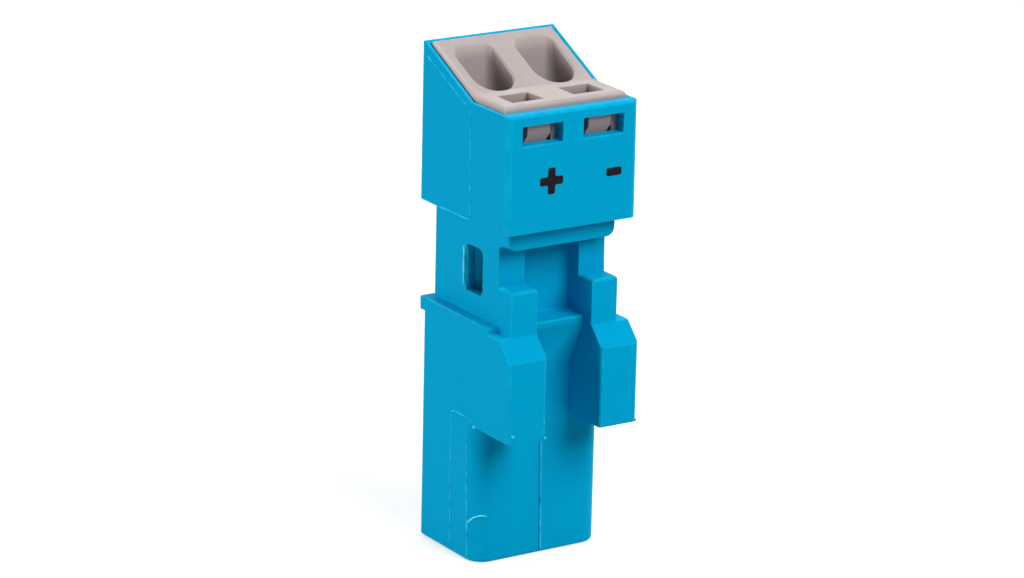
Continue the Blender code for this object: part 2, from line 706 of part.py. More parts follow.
def main():
    clear_scene()
    blue = make_material("blue_housing", (0.0, 0.34, 0.62), 0.42, 0.0)
    grey = make_material("grey_insert", (0.56, 0.51, 0.50), 0.5, 0.0)
    tin = make_material("tinned_copper", (0.72, 0.71, 0.69), 0.3, 1.0)
    steel = make_material("spring_steel", (0.58, 0.58, 0.60), 0.25, 1.0)
    make_housing(blue)
    make_insert(grey)
    for pole, side in POLES:
        make_contact(pole, side, tin)
        make_spring(pole, side, steel)
        make_tongue(pole, side, steel)


main()
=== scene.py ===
"""Looks of a two-pole pluggable wire connector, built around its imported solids.

Metres, +Z up. The poles lie side by side along X, the catch faces -Y, and the connector
stands on the rim of its mating sleeve.
"""
import json
import math

import bmesh
import bpy
from mathutils import Matrix, Vector
from mathutils.geometry import intersect_point_line


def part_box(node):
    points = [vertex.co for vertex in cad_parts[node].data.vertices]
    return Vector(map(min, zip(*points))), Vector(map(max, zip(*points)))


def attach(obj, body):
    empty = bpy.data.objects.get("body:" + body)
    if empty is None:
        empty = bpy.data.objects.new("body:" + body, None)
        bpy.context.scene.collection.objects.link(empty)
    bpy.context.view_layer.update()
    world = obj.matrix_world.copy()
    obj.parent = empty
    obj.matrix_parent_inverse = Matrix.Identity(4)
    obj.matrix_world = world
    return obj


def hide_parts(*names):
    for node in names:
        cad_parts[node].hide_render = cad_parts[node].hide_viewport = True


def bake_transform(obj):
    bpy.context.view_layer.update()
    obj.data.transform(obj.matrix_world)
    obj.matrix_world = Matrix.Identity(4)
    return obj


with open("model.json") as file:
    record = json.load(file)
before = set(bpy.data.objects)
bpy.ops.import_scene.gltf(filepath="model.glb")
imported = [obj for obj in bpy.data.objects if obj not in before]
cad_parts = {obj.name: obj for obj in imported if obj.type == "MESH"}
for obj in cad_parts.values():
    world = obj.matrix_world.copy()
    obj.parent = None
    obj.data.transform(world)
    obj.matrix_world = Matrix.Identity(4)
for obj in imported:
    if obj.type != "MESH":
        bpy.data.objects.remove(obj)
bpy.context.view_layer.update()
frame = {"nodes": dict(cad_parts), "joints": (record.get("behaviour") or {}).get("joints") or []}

BODY = "connector"
POLES = ("plus", "minus")
MILLI = 0.001

# Camera, solved from the straight edges of the photograph
IMAGE_WIDTH = 1024
FOCAL_PIXELS = 4246.1
SENSOR_WIDTH = 36.0
VIEW_AZIMUTH = math.radians(-33.182)
VIEW_ELEVATION = math.radians(17.142)
VIEW_ROLL = math.radians(1.336)
VIEW_DISTANCE = 0.262881
VIEW_TARGET = Vector((-0.000691, 0.000827, 0.016698))
CLIP_START = 0.01

# Fine rounding of moulded and stamped edges
MOULD_ROUND = 0.00009
INSERT_ROUND = 0.00006
METAL_ROUND = 0.00004
LEAST_ROUND = 0.000008
LEAST_TURN = 0.000008
ROUND_STEPS = 3
SHARP_ANGLE = math.radians(28)
SQUARE_ANGLE = math.radians(75)
SMOOTH_TURN = math.radians(30)
END_SHARE = 0.7
ROOM_PER_ROUND = 2.4
EDGE_SHARES = (0.05, 0.35, 0.65, 0.95)
FLAT_ANGLE = math.radians(0.5)
MERGE_DISTANCE = 1e-7
NARROW_FACE = 0.0003

# Clamp spring strip
STRIP_WIDTH = 0.0018
STRIP_THICKNESS = 0.0003
STRIP_EDGE = 0.00006
STRIP_EDGE_STEPS = 3
BEND_RADIUS = 0.0007
FOOT_RADIUS = 0.0004
TIP_BACK = 0.00415
TIP_DROP = 0.0037
ARC_STEPS = 14

# Printed polarity marks on the head's front
HEAD_FRONT = -0.004525
MARK_LEVEL = 0.02509
MARK_SIZE = 0.00166
MARK_BAR = 0.00052
MINUS_LENGTH = 0.0011
PLUS_X = -0.00152
MINUS_X = 0.003
MARK_CORNER = 0.00014
CORNER_STEPS = 4
INK_HEIGHT = 0.000012

# Face of the wire entry insert, flat and then rising backwards, and depths of painted shade in its
# recesses
INSERT_TOP = 0.02977
INSERT_RISE_START = -0.00003
INSERT_RISE = 0.487
PAINTED_SHADE_START = 0.0001
PAINTED_SHADE_END = 0.0008

# Mould flash in millimetres: (Y, Z) on a side, (X, Z) on a front, (degrees, Z) round a corner
HEAD_SIDE = 4.725
NECK_SIDE = 3.875
SLEEVE_SIDE = 4.635
SLEEVE_FRONT = -1.695
SLEEVE_CORNER = 1.2
ARM_FRONT = -5.275
HEAD_SEAM = ((-0.30, 29.10), (-0.34, 27.98), (-0.41, 25.18), (-0.47, 22.00))
RIM_SEAM = ((4.75, 31.18), (3.23, 30.51), (1.83, 29.86), (0.21, 29.11))
SLEEVE_SEAM = ((-0.02, 7.46), (0.06, 3.48), (0.13, 0.07))
SIDE_SEAM = ((1.385, 9.14), (1.327, 5.34), (1.246, 0.18))
CORNER_SEAM = ((-2.0, 8.52), (3.4, 5.27), (7.6, 2.46), (10.8, 0.16))
ARM_SEAM = ((-2.144, 10.33), (-2.105, 8.99))
STRIP_TOP = ((1.385, 9.14), (1.238, 9.265), (0.81, 9.412), (0.341, 9.323), (-0.006, 9.361),
             (-0.402, 9.323))
HEAD_FOOT = ((5.1, 22.03), (3.6, 22.01), (2.1, 22.03), (0.7, 22.02), (-0.4, 22.03))
WINDOW_EDGE = ((1.40, 19.85), (1.39, 18.7), (1.38, 17.35))
FIBRE = ((8.9, 2.50), (19.4, 2.66), (31.4, 2.92), (44.5, 3.05), (58.8, 3.12), (73.9, 3.05))
PARTING_STEP = 0.09
BURRS = ((-4.40, -5.275, 9.46), (-4.72, -1.45, 9.0), (-2.0, -5.26, 9.0), (4.60, -5.275, 9.1))

# Thickness of the flash, how uneven it is along a seam, and the size and number of its grains
SEAM_RADIUS = 0.000036
PARTING_RADIUS = 0.00005
EDGE_RADIUS = 0.0001
FIBRE_RADIUS = 0.00006
SEAM_STEP = 0.00012
SEAM_SIDES = 6
SEAM_PATCHES = 900.0
SEAM_LEAST = 0.2
SEAM_SWELL = 1.6
SEAM_TAPER = 0.03
SPECK_RADIUS = 0.00003
SPECK_DENSITY = 30000.0
SPECK_SEED = 7
SPECK_LEAST = (0.3, 0.3, 0.2)
SPECK_MOST = (1.0, 1.6, 0.5)
SPECK_SIZE_SEED = 3
BURR_SPREAD = 0.00003
BURR_WAYS = ((1, 0, -1), (-1, 1, 0), (0, -1, 1))
BURR_RADIUS = 0.00014
BURR_DENSITY = 1.2e9

# Fine relief of the surfaces, and the stretch of streaks and rolling lines
GRAIN_DEPTH = 0.000004
ROLLING_DEPTH = 0.000003
FLOW_STRETCH = (1, 1, 0.08)
BAR_STRETCH = (1, 1, 0.05)
SPRING_STRETCH = (1, 0.05, 0.05)
PLASTIC_IOR = 1.5

# Colours, linear
BLUE = (0.0006, 0.345, 0.597, 1)
BLUE_DEEP = (0.0005, 0.325, 0.570, 1)
# Flash, paler than the moulding partly as a painted highlight
BLUE_FLASH_HIGHLIGHT = (0.05, 0.66, 0.94, 1)
# Palest flash, partly a painted glint, on the window edges, the fibre and the burrs
BLUE_PAINTED_GLINT = (0.16, 0.86, 0.98, 1)
# Painted highlight on narrow rounded edges, rims and chamfers
BLUE_EDGE_HIGHLIGHT = (0.003, 0.395, 0.645, 1)
# Painted shadow of the step along the sleeve's parting line
BLUE_STEP_SHADOW = (0.0005, 0.20, 0.37, 1)
BLUE_GLOSS = (0.0, 0.62, 1.0, 1)
GREY = (0.398, 0.339, 0.330, 1)
GREY_WARM = (0.373, 0.314, 0.302, 1)
# Painted shade for the insert's funnels and slots
GREY_PAINTED_SHADE = (0.262, 0.218, 0.211, 1)
INK = (0.012, 0.008, 0.011, 1)
INK_WORN = (0.030, 0.030, 0.036, 1)
TIN = (0.70, 0.69, 0.67, 1)
TIN_DULL = (0.58, 0.57, 0.55, 1)
STEEL = (0.56, 0.56, 0.58, 1)
STEEL_DULL = (0.44, 0.44, 0.46, 1)
FLOOR = (0.45, 0.45, 0.45, 1)
BLACK = (0.0, 0.0, 0.0, 1)
WHITE = (1.0, 1.0, 1.0, 1)

# Light
FLOOR_SIZE = 1.5
FLOOR_DROP = 0.00002
FLOOR_LIFT = 0.6
FLOOR_MOTTLE = 0.03
WORLD_LEVEL = 0.03
SEEN_RAYS = ("Is Camera Ray", "Is Glossy Ray", "Is Transmission Ray")
LAMP_SIZE = 0.25
LAMP_DISTANCE = 0.42

# Softboxes: name, degrees round from the front, degrees up from the floor, level
SOFTBOXES = (("left_softbox", -108, 16, 0.79),
             ("front_softbox", 16, 42, 1.02),
             ("right_softbox", 106, 16, 0.54),
             ("back_softbox", 165, 40, 0.45),
             ("top_softbox", 0, 86, 0.17))


class Value:
    """A node's output. An expression on values adds the Math nodes that work it out."""

    def __init__(self, graph, socket):
        self.graph = graph
        self.socket = socket

    def combine(self, operation, first, second):
        return self.graph.add("ShaderNodeMath", {"operation": operation}, {0: first, 1: second})

    def __add__(self, other):
        return self.combine("ADD", self, other)

    def __radd__(self, other):
        return self.combine("ADD", other, self)

    def __sub__(self, other):
        return self.combine("SUBTRACT", self, other)

    def __rsub__(self, other):
        return self.combine("SUBTRACT", other, self)

    def __mul__(self, other):
        return self.combine("MULTIPLY", self, other)

    def __rmul__(self, other):
        return self.combine("MULTIPLY", other, self)

    def at_least(self, other):
        return self.combine("MAXIMUM", self, other)


class Graph:
    """A node tree that the script fills."""

    def __init__(self, tree):
        self.tree = tree

    def add(self, kind, settings=None, sockets=None, output=0):
        """Any node: its settings come first, then the values or links of its sockets."""
        node = self.tree.nodes.new(kind)
        for name, value in (settings or {}).items():
            setattr(node, name, value)
        for name, value in (sockets or {}).items():
            self.feed(node.inputs[name], value)
        return Value(self, node.outputs[output])

    def feed(self, socket, value):
        """Link a value to a socket, or set a plain number, colour or material on it."""
        if isinstance(value, Value):
            self.tree.links.new(value.socket, socket)
        else:
            socket.default_value = value

    def noise(self, scale, detail=2.0, stretch=(1, 1, 1)):
        """Noise over the piece's own place, from 0 to 1, with a scale in patches per metre."""
        place = self.add("ShaderNodeTexCoord", output="Object")
        drawn = self.add("ShaderNodeMapping", sockets={"Vector": place, "Scale": stretch})
        sockets = {"Vector": drawn, "Scale": scale, "Detail": detail}
        return self.add("ShaderNodeTexNoise", sockets=sockets, output="Fac")

    def coordinate(self, axis):
        """One coordinate of the piece's own place, in metres."""
        place = self.add("ShaderNodeTexCoord", output="Object")
        return self.add("ShaderNodeSeparateXYZ", sockets={"Vector": place}, output=axis)

    def mix(self, factor, first, second):
        """Colour between two colours."""
        sockets = {0: factor, 6: first, 7: second}
        return self.add("ShaderNodeMix", {"data_type": "RGBA"}, sockets, output=2)

    def step(self, value, low, high):
        """0 below low, 1 above high, smooth between."""
        settings = {"interpolation_type": "SMOOTHSTEP"}
        sockets = {"Value": value, "From Min": low, "From Max": high}
        return self.add("ShaderNodeMapRange", settings, sockets, output="Result")

    def bump(self, height, depth):
        """Normal of a surface whose height varies by a depth in metres."""
        sockets = {"Height": height, "Distance": depth, "Strength": 1.0}
        return self.add("ShaderNodeBump", sockets=sockets, output="Normal")


# Finishes

def new_finish(name, constants):
    """Material whose plain numbers are set on the shader's own sockets."""
    material = bpy.data.materials.new(name)
    material.use_nodes = True
    inputs = material.node_tree.nodes["Principled BSDF"].inputs
    for socket, value in constants.items():
        inputs[socket].default_value = value
    return material, Graph(material.node_tree), inputs


def blue_moulding():
    """Satin light blue plastic with slow clouds of shade, fine grain and faint flow streaks."""
    constants = {"IOR": PLASTIC_IOR, "Specular IOR Level": 0.01, "Specular Tint": BLUE_GLOSS}
    material, graph, inputs = new_finish("blue_moulding", constants)
    clouds = graph.noise(240, 3)
    grain = graph.noise(8000, 2)
    streaks = graph.noise(1400, 2, FLOW_STRETCH)
    graph.feed(inputs["Base Color"], graph.mix(clouds, BLUE_DEEP, BLUE))
    graph.feed(inputs["Roughness"], 0.36 + 0.16 * grain)
    graph.feed(inputs["Normal"], graph.bump(grain + 0.6 * streaks, GRAIN_DEPTH))
    return material


def blue_flash_and_painted_light(name, low, high):
    """Two shades of blue in patches, for thin flash of the same plastic and for painted highlights and
    shadow.
    """
    constants = {"Specular IOR Level": 0.02, "Specular Tint": BLUE_GLOSS}
    material, graph, inputs = new_finish(name, constants)
    patches = graph.noise(1500, 2)
    graph.feed(inputs["Base Color"], graph.mix(graph.step(patches, 0.3, 0.65), low, high))
    graph.feed(inputs["Roughness"], 0.3 + 0.2 * patches)
    return material


def grey_moulding():
    """Warm grey filled plastic with a fine mottle and grain, and painted shade down in its recesses.
    """
    constants = {"IOR": PLASTIC_IOR, "Specular IOR Level": 0.3}
    material, graph, inputs = new_finish("grey_moulding", constants)
    mottle = graph.noise(700, 4)
    grain = graph.noise(9000, 2)
    rise = INSERT_RISE * (graph.coordinate("Y") - INSERT_RISE_START).at_least(0.0)
    depth = INSERT_TOP + rise - graph.coordinate("Z")
    face = graph.mix(graph.step(mottle, 0.3, 0.7), GREY_WARM, GREY)
    # Painted shade: the grey darkens with depth below the insert's face
    painted_shade = graph.step(depth, PAINTED_SHADE_START, PAINTED_SHADE_END)
    graph.feed(inputs["Base Color"], graph.mix(painted_shade, face, GREY_PAINTED_SHADE))
    graph.feed(inputs["Roughness"], 0.42 + 0.14 * grain)
    graph.feed(inputs["Normal"], graph.bump(grain + 0.5 * mottle, GRAIN_DEPTH))
    return material


def black_ink():
    """Pad-printed ink, a little thin in places."""
    material, graph, inputs = new_finish("black_ink", {"Specular IOR Level": 0.05})
    thin = graph.noise(3500, 3)
    graph.feed(inputs["Base Color"], graph.mix(graph.step(thin, 0.52, 0.75), INK, INK_WORN))
    graph.feed(inputs["Roughness"], 0.45 + 0.2 * thin)
    return material


def rolled_metal(name, bright, dull, stretch):
    """Metal strip with fine rolling lines and a slow change of shade."""
    material, graph, inputs = new_finish(name, {"Metallic": 1.0})
    lines = graph.noise(2500, 3, stretch)
    clouds = graph.noise(500, 3)
    graph.feed(inputs["Base Color"], graph.mix(graph.step(clouds, 0.35, 0.7), bright, dull))
    graph.feed(inputs["Roughness"], 0.2 + 0.22 * lines)
    graph.feed(inputs["Normal"], graph.bump(lines, ROLLING_DEPTH))
    return material


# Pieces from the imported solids

def facing(edge, other):
    """True where two edges bound one face from opposite sides."""
    for loop in edge.link_loops:
        for rival in other.link_loops:
            if loop.face is rival.face and direction(loop).dot(direction(rival)) < 0:
                return True
    return False


def direction(loop):
    """Way along an edge, as its face goes round."""
    return loop.link_loop_next.vert.co - loop.vert.co


def free_room(edge, chains):
    """Distance from an edge to the nearest that doesn't touch it or follow on from it."""
    first, second = (vertex.co for vertex in edge.verts)
    points = [first.lerp(second, share) for share in EDGE_SHARES]
    room = math.inf
    for other, chain in chains.items():
        if set(other.verts) & set(edge.verts):
            continue
        if chain is chains[edge] and not facing(edge, other):
            continue
        low, high = (vertex.co for vertex in other.verts)
        for point in points:
            share = intersect_point_line(point, low, high)[1]
            foot = low.lerp(high, min(max(share, 0.0), 1.0))
            room = min(room, (foot - point).length)
    return room


def turns(edge, sharp):
    """Turn and next edge at each end; a corner of more edges, or a dead end, is square."""
    first, second = (vertex.co for vertex in edge.verts)
    along = (second - first).normalized()
    ends = []
    for vertex in edge.verts:
        others = [other for other in vertex.link_edges if other in sharp and other is not edge]
        if len(others) == 1:
            onward = (others[0].other_vert(vertex).co - vertex.co).normalized()
            straight = min(abs(onward.dot(along)), 1.0)
            ends.append((math.acos(straight), others[0]))
        else:
            ends.append((math.pi / 2, None))
    return ends


def smooth_chains(sharp):
    """For each sharp edge, the first edge of the smooth line that it is part of."""
    chains = {}
    for start in sharp:
        waiting = [] if start in chains else [start]
        while waiting:
            edge = waiting.pop()
            chains[edge] = start
            onward = [other for turn, other in turns(edge, sharp) if other and turn < SMOOTH_TURN]
            waiting.extend(other for other in onward if other not in chains)
    return chains


def rounding(edge, sharp, chains):
    """Radius that has room on a sharp edge, beside it and between the turns at its ends."""
    used = sum(math.tan(turn / 2) for turn, other in turns(edge, sharp))
    length_room = END_SHARE * edge.calc_length() / max(used, LEAST_TURN)
    return min(free_room(edge, chains) / ROOM_PER_ROUND, length_room)


def weighted_copy(node, radius, least_angle):
    """Merged copy of a node, whose smooth lines of edges carry the radius that has room there."""
    shape = bmesh.new()
    shape.from_mesh(frame["nodes"][node].data)
    bmesh.ops.remove_doubles(shape, verts=shape.verts, dist=MERGE_DISTANCE)
    bmesh.ops.dissolve_limit(shape, angle_limit=FLAT_ANGLE, verts=shape.verts, edges=shape.edges)
    share = shape.edges.layers.float.new("bevel_weight_edge")
    sharp = dict.fromkeys(edge for edge in shape.edges if edge.calc_face_angle(0.0) > least_angle)
    chains = smooth_chains(sharp)
    rooms = dict.fromkeys(chains.values(), radius)
    for edge, chain in chains.items():
        rooms[chain] = min(rooms[chain], rounding(edge, sharp, chains))
    for edge, chain in chains.items():
        edge[share] = rooms[chain] / radius if rooms[chain] > LEAST_ROUND else 0.0
    return shape


def paint_edge_highlights(mesh):
    """Second finish, a painted highlight, on narrow faces that stand out: rounded edges, rims and
    chamfers.
    """
    shape = bmesh.new()
    shape.from_mesh(mesh)
    for face in shape.faces:
        width = 2 * face.calc_area() / face.calc_perimeter()
        rise = sum(edge.calc_face_angle_signed(0.0) * edge.calc_length() for edge in face.edges)
        if width < NARROW_FACE and rise > 0:
            face.material_index = 1
    shape.to_mesh(mesh)
    shape.free()


def plain_piece(piece):
    """Turn what the piece's modifiers make into its own plain mesh."""
    graph = bpy.context.evaluated_depsgraph_get()
    mesh = bpy.data.meshes.new_from_object(piece.evaluated_get(graph), depsgraph=graph)
    piece.modifiers.clear()
    piece.data = mesh
    mesh.name = piece.name
    return piece


def new_piece(name, mesh):
    piece = bpy.data.objects.new(name, mesh)
    bpy.context.scene.collection.objects.link(piece)
    return piece


def smooth_piece(name, shape, finishes, radius=0.0):
    """Piece from a shape, with weighted edges rounded, shaded smooth there and flat on flats."""
    mesh = bpy.data.meshes.new(name)
    shape.to_mesh(mesh)
    shape.free()
    mesh.materials.clear()
    for finish in finishes:
        mesh.materials.append(finish)
    piece = new_piece(name, mesh)
    if radius:
        rounded = piece.modifiers.new("round_edges", "BEVEL")
        rounded.limit_method = "WEIGHT"
        rounded.width = radius
        rounded.segments = ROUND_STEPS
        rounded.use_clamp_overlap = False
        plain_piece(piece)
    # Narrow faces that stand out get the second finish, a painted highlight
    if len(finishes) > 1:
        paint_edge_highlights(piece.data)
    piece.data.shade_smooth()
    piece.data.set_sharp_from_angle(angle=SHARP_ANGLE)
    evened = piece.modifiers.new("even_normals", "WEIGHTED_NORMAL")
    evened.keep_sharp = True
    return plain_piece(piece)


def dress(node, name, radius, finishes, least_angle=SHARP_ANGLE):
    """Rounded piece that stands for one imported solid."""
    piece = smooth_piece(name, weighted_copy(node, radius, least_angle), finishes, radius)
    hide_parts(node)
    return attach(piece, BODY)


# Geometry Nodes

def open_tree(name, sizes):
    """New tree with a geometry input, named sizes and a finish."""
    tree = bpy.data.node_groups.new(name, "GeometryNodeTree")
    kinds = {"Geometry": "NodeSocketGeometry", "Finish": "NodeSocketMaterial"}
    labels = ("Geometry", *sizes, "Finish")
    for label in labels:
        kind = kinds.get(label, "NodeSocketFloat")
        tree.interface.new_socket(label, in_out="INPUT", socket_type=kind)
    tree.interface.new_socket("Geometry", in_out="OUTPUT", socket_type="NodeSocketGeometry")
    graph = Graph(tree)
    entry = tree.nodes.new("NodeGroupInput")
    return graph, {label: Value(graph, entry.outputs[label]) for label in labels}


def close_tree(graph, shape, finish):
    """End a tree: realize its instances and set its material."""
    real = graph.add("GeometryNodeRealizeInstances", sockets={"Geometry": shape})
    sockets = {"Geometry": real, "Material": finish}
    finished = graph.add("GeometryNodeSetMaterial", sockets=sockets)
    way_out = graph.tree.nodes.new("NodeGroupOutput")
    graph.feed(way_out.inputs["Geometry"], finished)
    return graph.tree


def strip_tree():
    """Flat strip with eased edges, swept along a path."""
    graph, given = open_tree("bent_strip", ("Width", "Thickness", "Edge"))
    path = graph.add("GeometryNodeMeshToCurve", sockets={"Mesh": given["Geometry"]})
    sockets = {"Width": given["Width"], "Height": given["Thickness"]}
    section = graph.add("GeometryNodeCurvePrimitiveQuadrilateral", sockets=sockets)
    sockets = {"Curve": section, "Radius": given["Edge"], "Count": STRIP_EDGE_STEPS}
    profile = graph.add("GeometryNodeFilletCurve", {"mode": "POLY"}, sockets)
    sockets = {"Curve": path, "Profile Curve": profile, "Fill Caps": True}
    strip = graph.add("GeometryNodeCurveToMesh", sockets=sockets)
    return close_tree(graph, strip, given["Finish"])


def seam_tree():
    """Thin uneven ridge along each path, tapered at its ends."""
    graph, given = open_tree("mould_seam", ("Radius", "Step"))
    path = graph.add("GeometryNodeMeshToCurve", sockets={"Mesh": given["Geometry"]})
    sockets = {"Curve": path, "Length": given["Step"]}
    points = graph.add("GeometryNodeResampleCurve", {"mode": "LENGTH"}, sockets)
    along = graph.add("GeometryNodeSplineParameter", output="Factor")
    place = graph.add("GeometryNodeInputPosition")
    sockets = {"Vector": place, "Scale": SEAM_PATCHES}
    uneven = graph.add("ShaderNodeTexNoise", sockets=sockets, output="Fac")
    taper = graph.step(along * (1 - along), 0.0, SEAM_TAPER)
    sockets = {"Resolution": SEAM_SIDES, "Radius": given["Radius"]}
    section = graph.add("GeometryNodeCurvePrimitiveCircle", sockets=sockets)
    sockets = {"Curve": points, "Profile Curve": section, "Fill Caps": True,
               "Scale": taper * (SEAM_LEAST + SEAM_SWELL * uneven)}
    ridge = graph.add("GeometryNodeCurveToMesh", sockets=sockets)
    smooth = graph.add("GeometryNodeSetShadeSmooth", sockets={"Geometry": ridge})
    return close_tree(graph, smooth, given["Finish"])


def speck_tree():
    """Flat grains of flash, scattered over a surface."""
    graph, given = open_tree("flash_specks", ("Radius", "Density"))
    sockets = {"Mesh": given["Geometry"], "Density": given["Density"], "Seed": SPECK_SEED}
    scatter = graph.add("GeometryNodeDistributePointsOnFaces", sockets=sockets)
    turn = Value(graph, scatter.socket.node.outputs["Rotation"])
    sockets = {"Radius": given["Radius"], "Subdivisions": 1}
    grain = graph.add("GeometryNodeMeshIcoSphere", sockets=sockets)
    sockets = {"Min": SPECK_LEAST, "Max": SPECK_MOST, "Seed": SPECK_SIZE_SEED}
    size = graph.add("FunctionNodeRandomValue", {"data_type": "FLOAT_VECTOR"}, sockets)
    sockets = {"Points": scatter, "Instance": grain, "Rotation": turn, "Scale": size}
    specks = graph.add("GeometryNodeInstanceOnPoints", sockets=sockets)
    return close_tree(graph, specks, given["Finish"])


def grow(name, mesh, tree, **values):
    """Run a tree on a mesh and keep the result as a plain piece."""
    piece = new_piece(name, mesh)
    modifier = piece.modifiers.new("shape", "NODES")
    modifier.node_group = tree
    for item in tree.interface.items_tree:
        if item.in_out == "INPUT" and item.name in values:
            modifier[item.identifier] = values[item.name]
    return plain_piece(piece)


def path_mesh(name, *paths):
    """Mesh of plain edges along each path."""
    points = []
    edges = []
    for path in paths:
        first = len(points)
        points.extend(path)
        edges.extend((first + step, first + step + 1) for step in range(len(path) - 1))
    mesh = bpy.data.meshes.new(name)
    mesh.from_pydata(points, edges, [])
    return mesh


# Clamp springs

def arc(centre, radius, first, last):
    """Points of an arc in the plane across X, by angles from +Y towards +Z."""
    angles = [first + (last - first) * step / ARC_STEPS for step in range(ARC_STEPS + 1)]
    return [centre + radius * Vector((0, math.cos(angle), math.sin(angle))) for angle in angles]


def leaving_angle():
    """Angle on the bend where the straight tongue leaves it."""
    reach = math.hypot(TIP_BACK, TIP_DROP)
    return math.atan2(-TIP_DROP, TIP_BACK) + math.acos(BEND_RADIUS / reach)


def spring_path(hinge, low, high):
    """Middle line of the strip: foot, upright leg, bend round the hinge, tongue."""
    foot_level = low.z + STRIP_THICKNESS / 2
    foot_end = Vector((hinge.x, high.y, foot_level))
    leg = hinge.y - BEND_RADIUS
    corner = Vector((hinge.x, leg + FOOT_RADIUS, foot_level + FOOT_RADIUS))
    heel = arc(corner, FOOT_RADIUS, -math.pi / 2, -math.pi)
    bend = arc(hinge, BEND_RADIUS, math.pi, leaving_angle())
    return [foot_end, *heel, *bend, hinge + Vector((0, TIP_BACK, -TIP_DROP))]


def add_spring(pole, tree, finish):
    """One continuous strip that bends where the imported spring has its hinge."""
    fixed = "clamp_spring_" + pole
    joint = next(entry for entry in frame["joints"] if entry["name"] == f"clamp_{pole}_flex")
    hinge = Vector(joint["pos_m"])
    name = "spring_strip_" + pole
    path = path_mesh(name, spring_path(hinge, *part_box(fixed)))
    strip = grow(name, path, tree, Width=STRIP_WIDTH, Thickness=STRIP_THICKNESS,
                 Edge=STRIP_EDGE, Finish=finish)
    strip.data.shade_smooth()
    strip.data.set_sharp_from_angle(angle=SHARP_ANGLE)
    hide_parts(fixed, "clamp_tongue_" + pole)
    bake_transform(strip)


# Polarity marks

def eased(outline, radius):
    """Outline with each corner replaced by a short curve."""
    points = []
    for index, corner in enumerate(outline):
        before = corner + (outline[index - 1] - corner).normalized() * radius
        after = corner + (outline[(index + 1) % len(outline)] - corner).normalized() * radius
        for step in range(CORNER_STEPS + 1):
            share = step / CORNER_STEPS
            points.append(before.lerp(corner, share).lerp(corner.lerp(after, share), share))
    return points


def plus_outline(size, bar):
    far = size / 2
    near = bar / 2
    quarter = [Vector((near, far)), Vector((near, near)), Vector((far, near))]
    rotations = [Matrix.Rotation(-math.pi / 2 * index, 2) for index in range(4)]
    return [rotation @ corner for rotation in rotations for corner in quarter]


def bar_outline(length, bar):
    signs = ((1, 1), (1, -1), (-1, -1), (-1, 1))
    return [Vector((length / 2 * x, bar / 2 * z)) for x, z in signs]


def add_mark(name, outline, middle, finish):
    """Ink on the head's front, raised by its own thickness."""
    shape = bmesh.new()
    places = eased(outline, MARK_CORNER)
    rings = []
    for depth in (HEAD_FRONT + INK_HEIGHT, HEAD_FRONT - INK_HEIGHT):
        points = [(middle + place.x, depth, MARK_LEVEL + place.y) for place in places]
        rings.append([shape.verts.new(point) for point in points])
        shape.faces.new(rings[-1])
    inner, outer = rings
    for index in range(len(inner)):
        shape.faces.new((inner[index - 1], inner[index], outer[index], outer[index - 1]))
    bmesh.ops.recalc_face_normals(shape, faces=shape.faces)
    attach(smooth_piece(name, shape, [finish]), BODY)


# Mould flash

def on_side(side, half_width, seam):
    """Path on a flat side of the housing."""
    return [Vector((side * half_width, y, z)) * MILLI for y, z in seam]


def on_front(depth, seam):
    """Path on a flat front of the housing."""
    return [Vector((x, depth, z)) * MILLI for x, z in seam]


def on_corner(seam):
    """Path round the sleeve's left front corner, by angle in degrees and level."""
    middle = Vector((SLEEVE_CORNER - SLEEVE_SIDE, SLEEVE_FRONT + SLEEVE_CORNER, 0))
    path = []
    for degrees, level in seam:
        angle = math.radians(max(degrees, 0.0))
        out = Vector((-math.cos(angle), -math.sin(angle), 0)) * SLEEVE_CORNER
        path.append((middle + out + Vector((0, 0, level))) * MILLI)
    return path


def seam_paths():
    """Pale ridges of flash along the joints of the mould, their paleness partly a painted highlight.
    """
    # This ridge beside the parting line paints the lit side of its step as a highlight
    beside_parting = [(x + PARTING_STEP, z) for x, z in SLEEVE_SEAM]
    paths = [on_front(ARM_FRONT, ARM_SEAM), on_corner(CORNER_SEAM)]
    paths.append(on_front(SLEEVE_FRONT, beside_parting))
    for side in (-1, 1):
        paths.append(on_side(side, HEAD_SIDE, HEAD_SEAM))
        paths.append(on_side(side, HEAD_SIDE, RIM_SEAM))
        paths.append(on_side(side, HEAD_SIDE, HEAD_FOOT))
        paths.append(on_side(side, SLEEVE_SIDE, SIDE_SEAM))
        paths.append(on_side(side, SLEEVE_SIDE, STRIP_TOP))
    return paths


def burr_faces():
    """Small triangles where flash stands out on the guide arms, for grains to grow on."""
    points = [Vector(burr) * MILLI + BURR_SPREAD * Vector(way) for burr in BURRS for way in BURR_WAYS]
    mesh = bpy.data.meshes.new("burrs")
    mesh.from_pydata(points, [], [(first, first + 1, first + 2) for first in range(0, len(points), 3)])
    return mesh


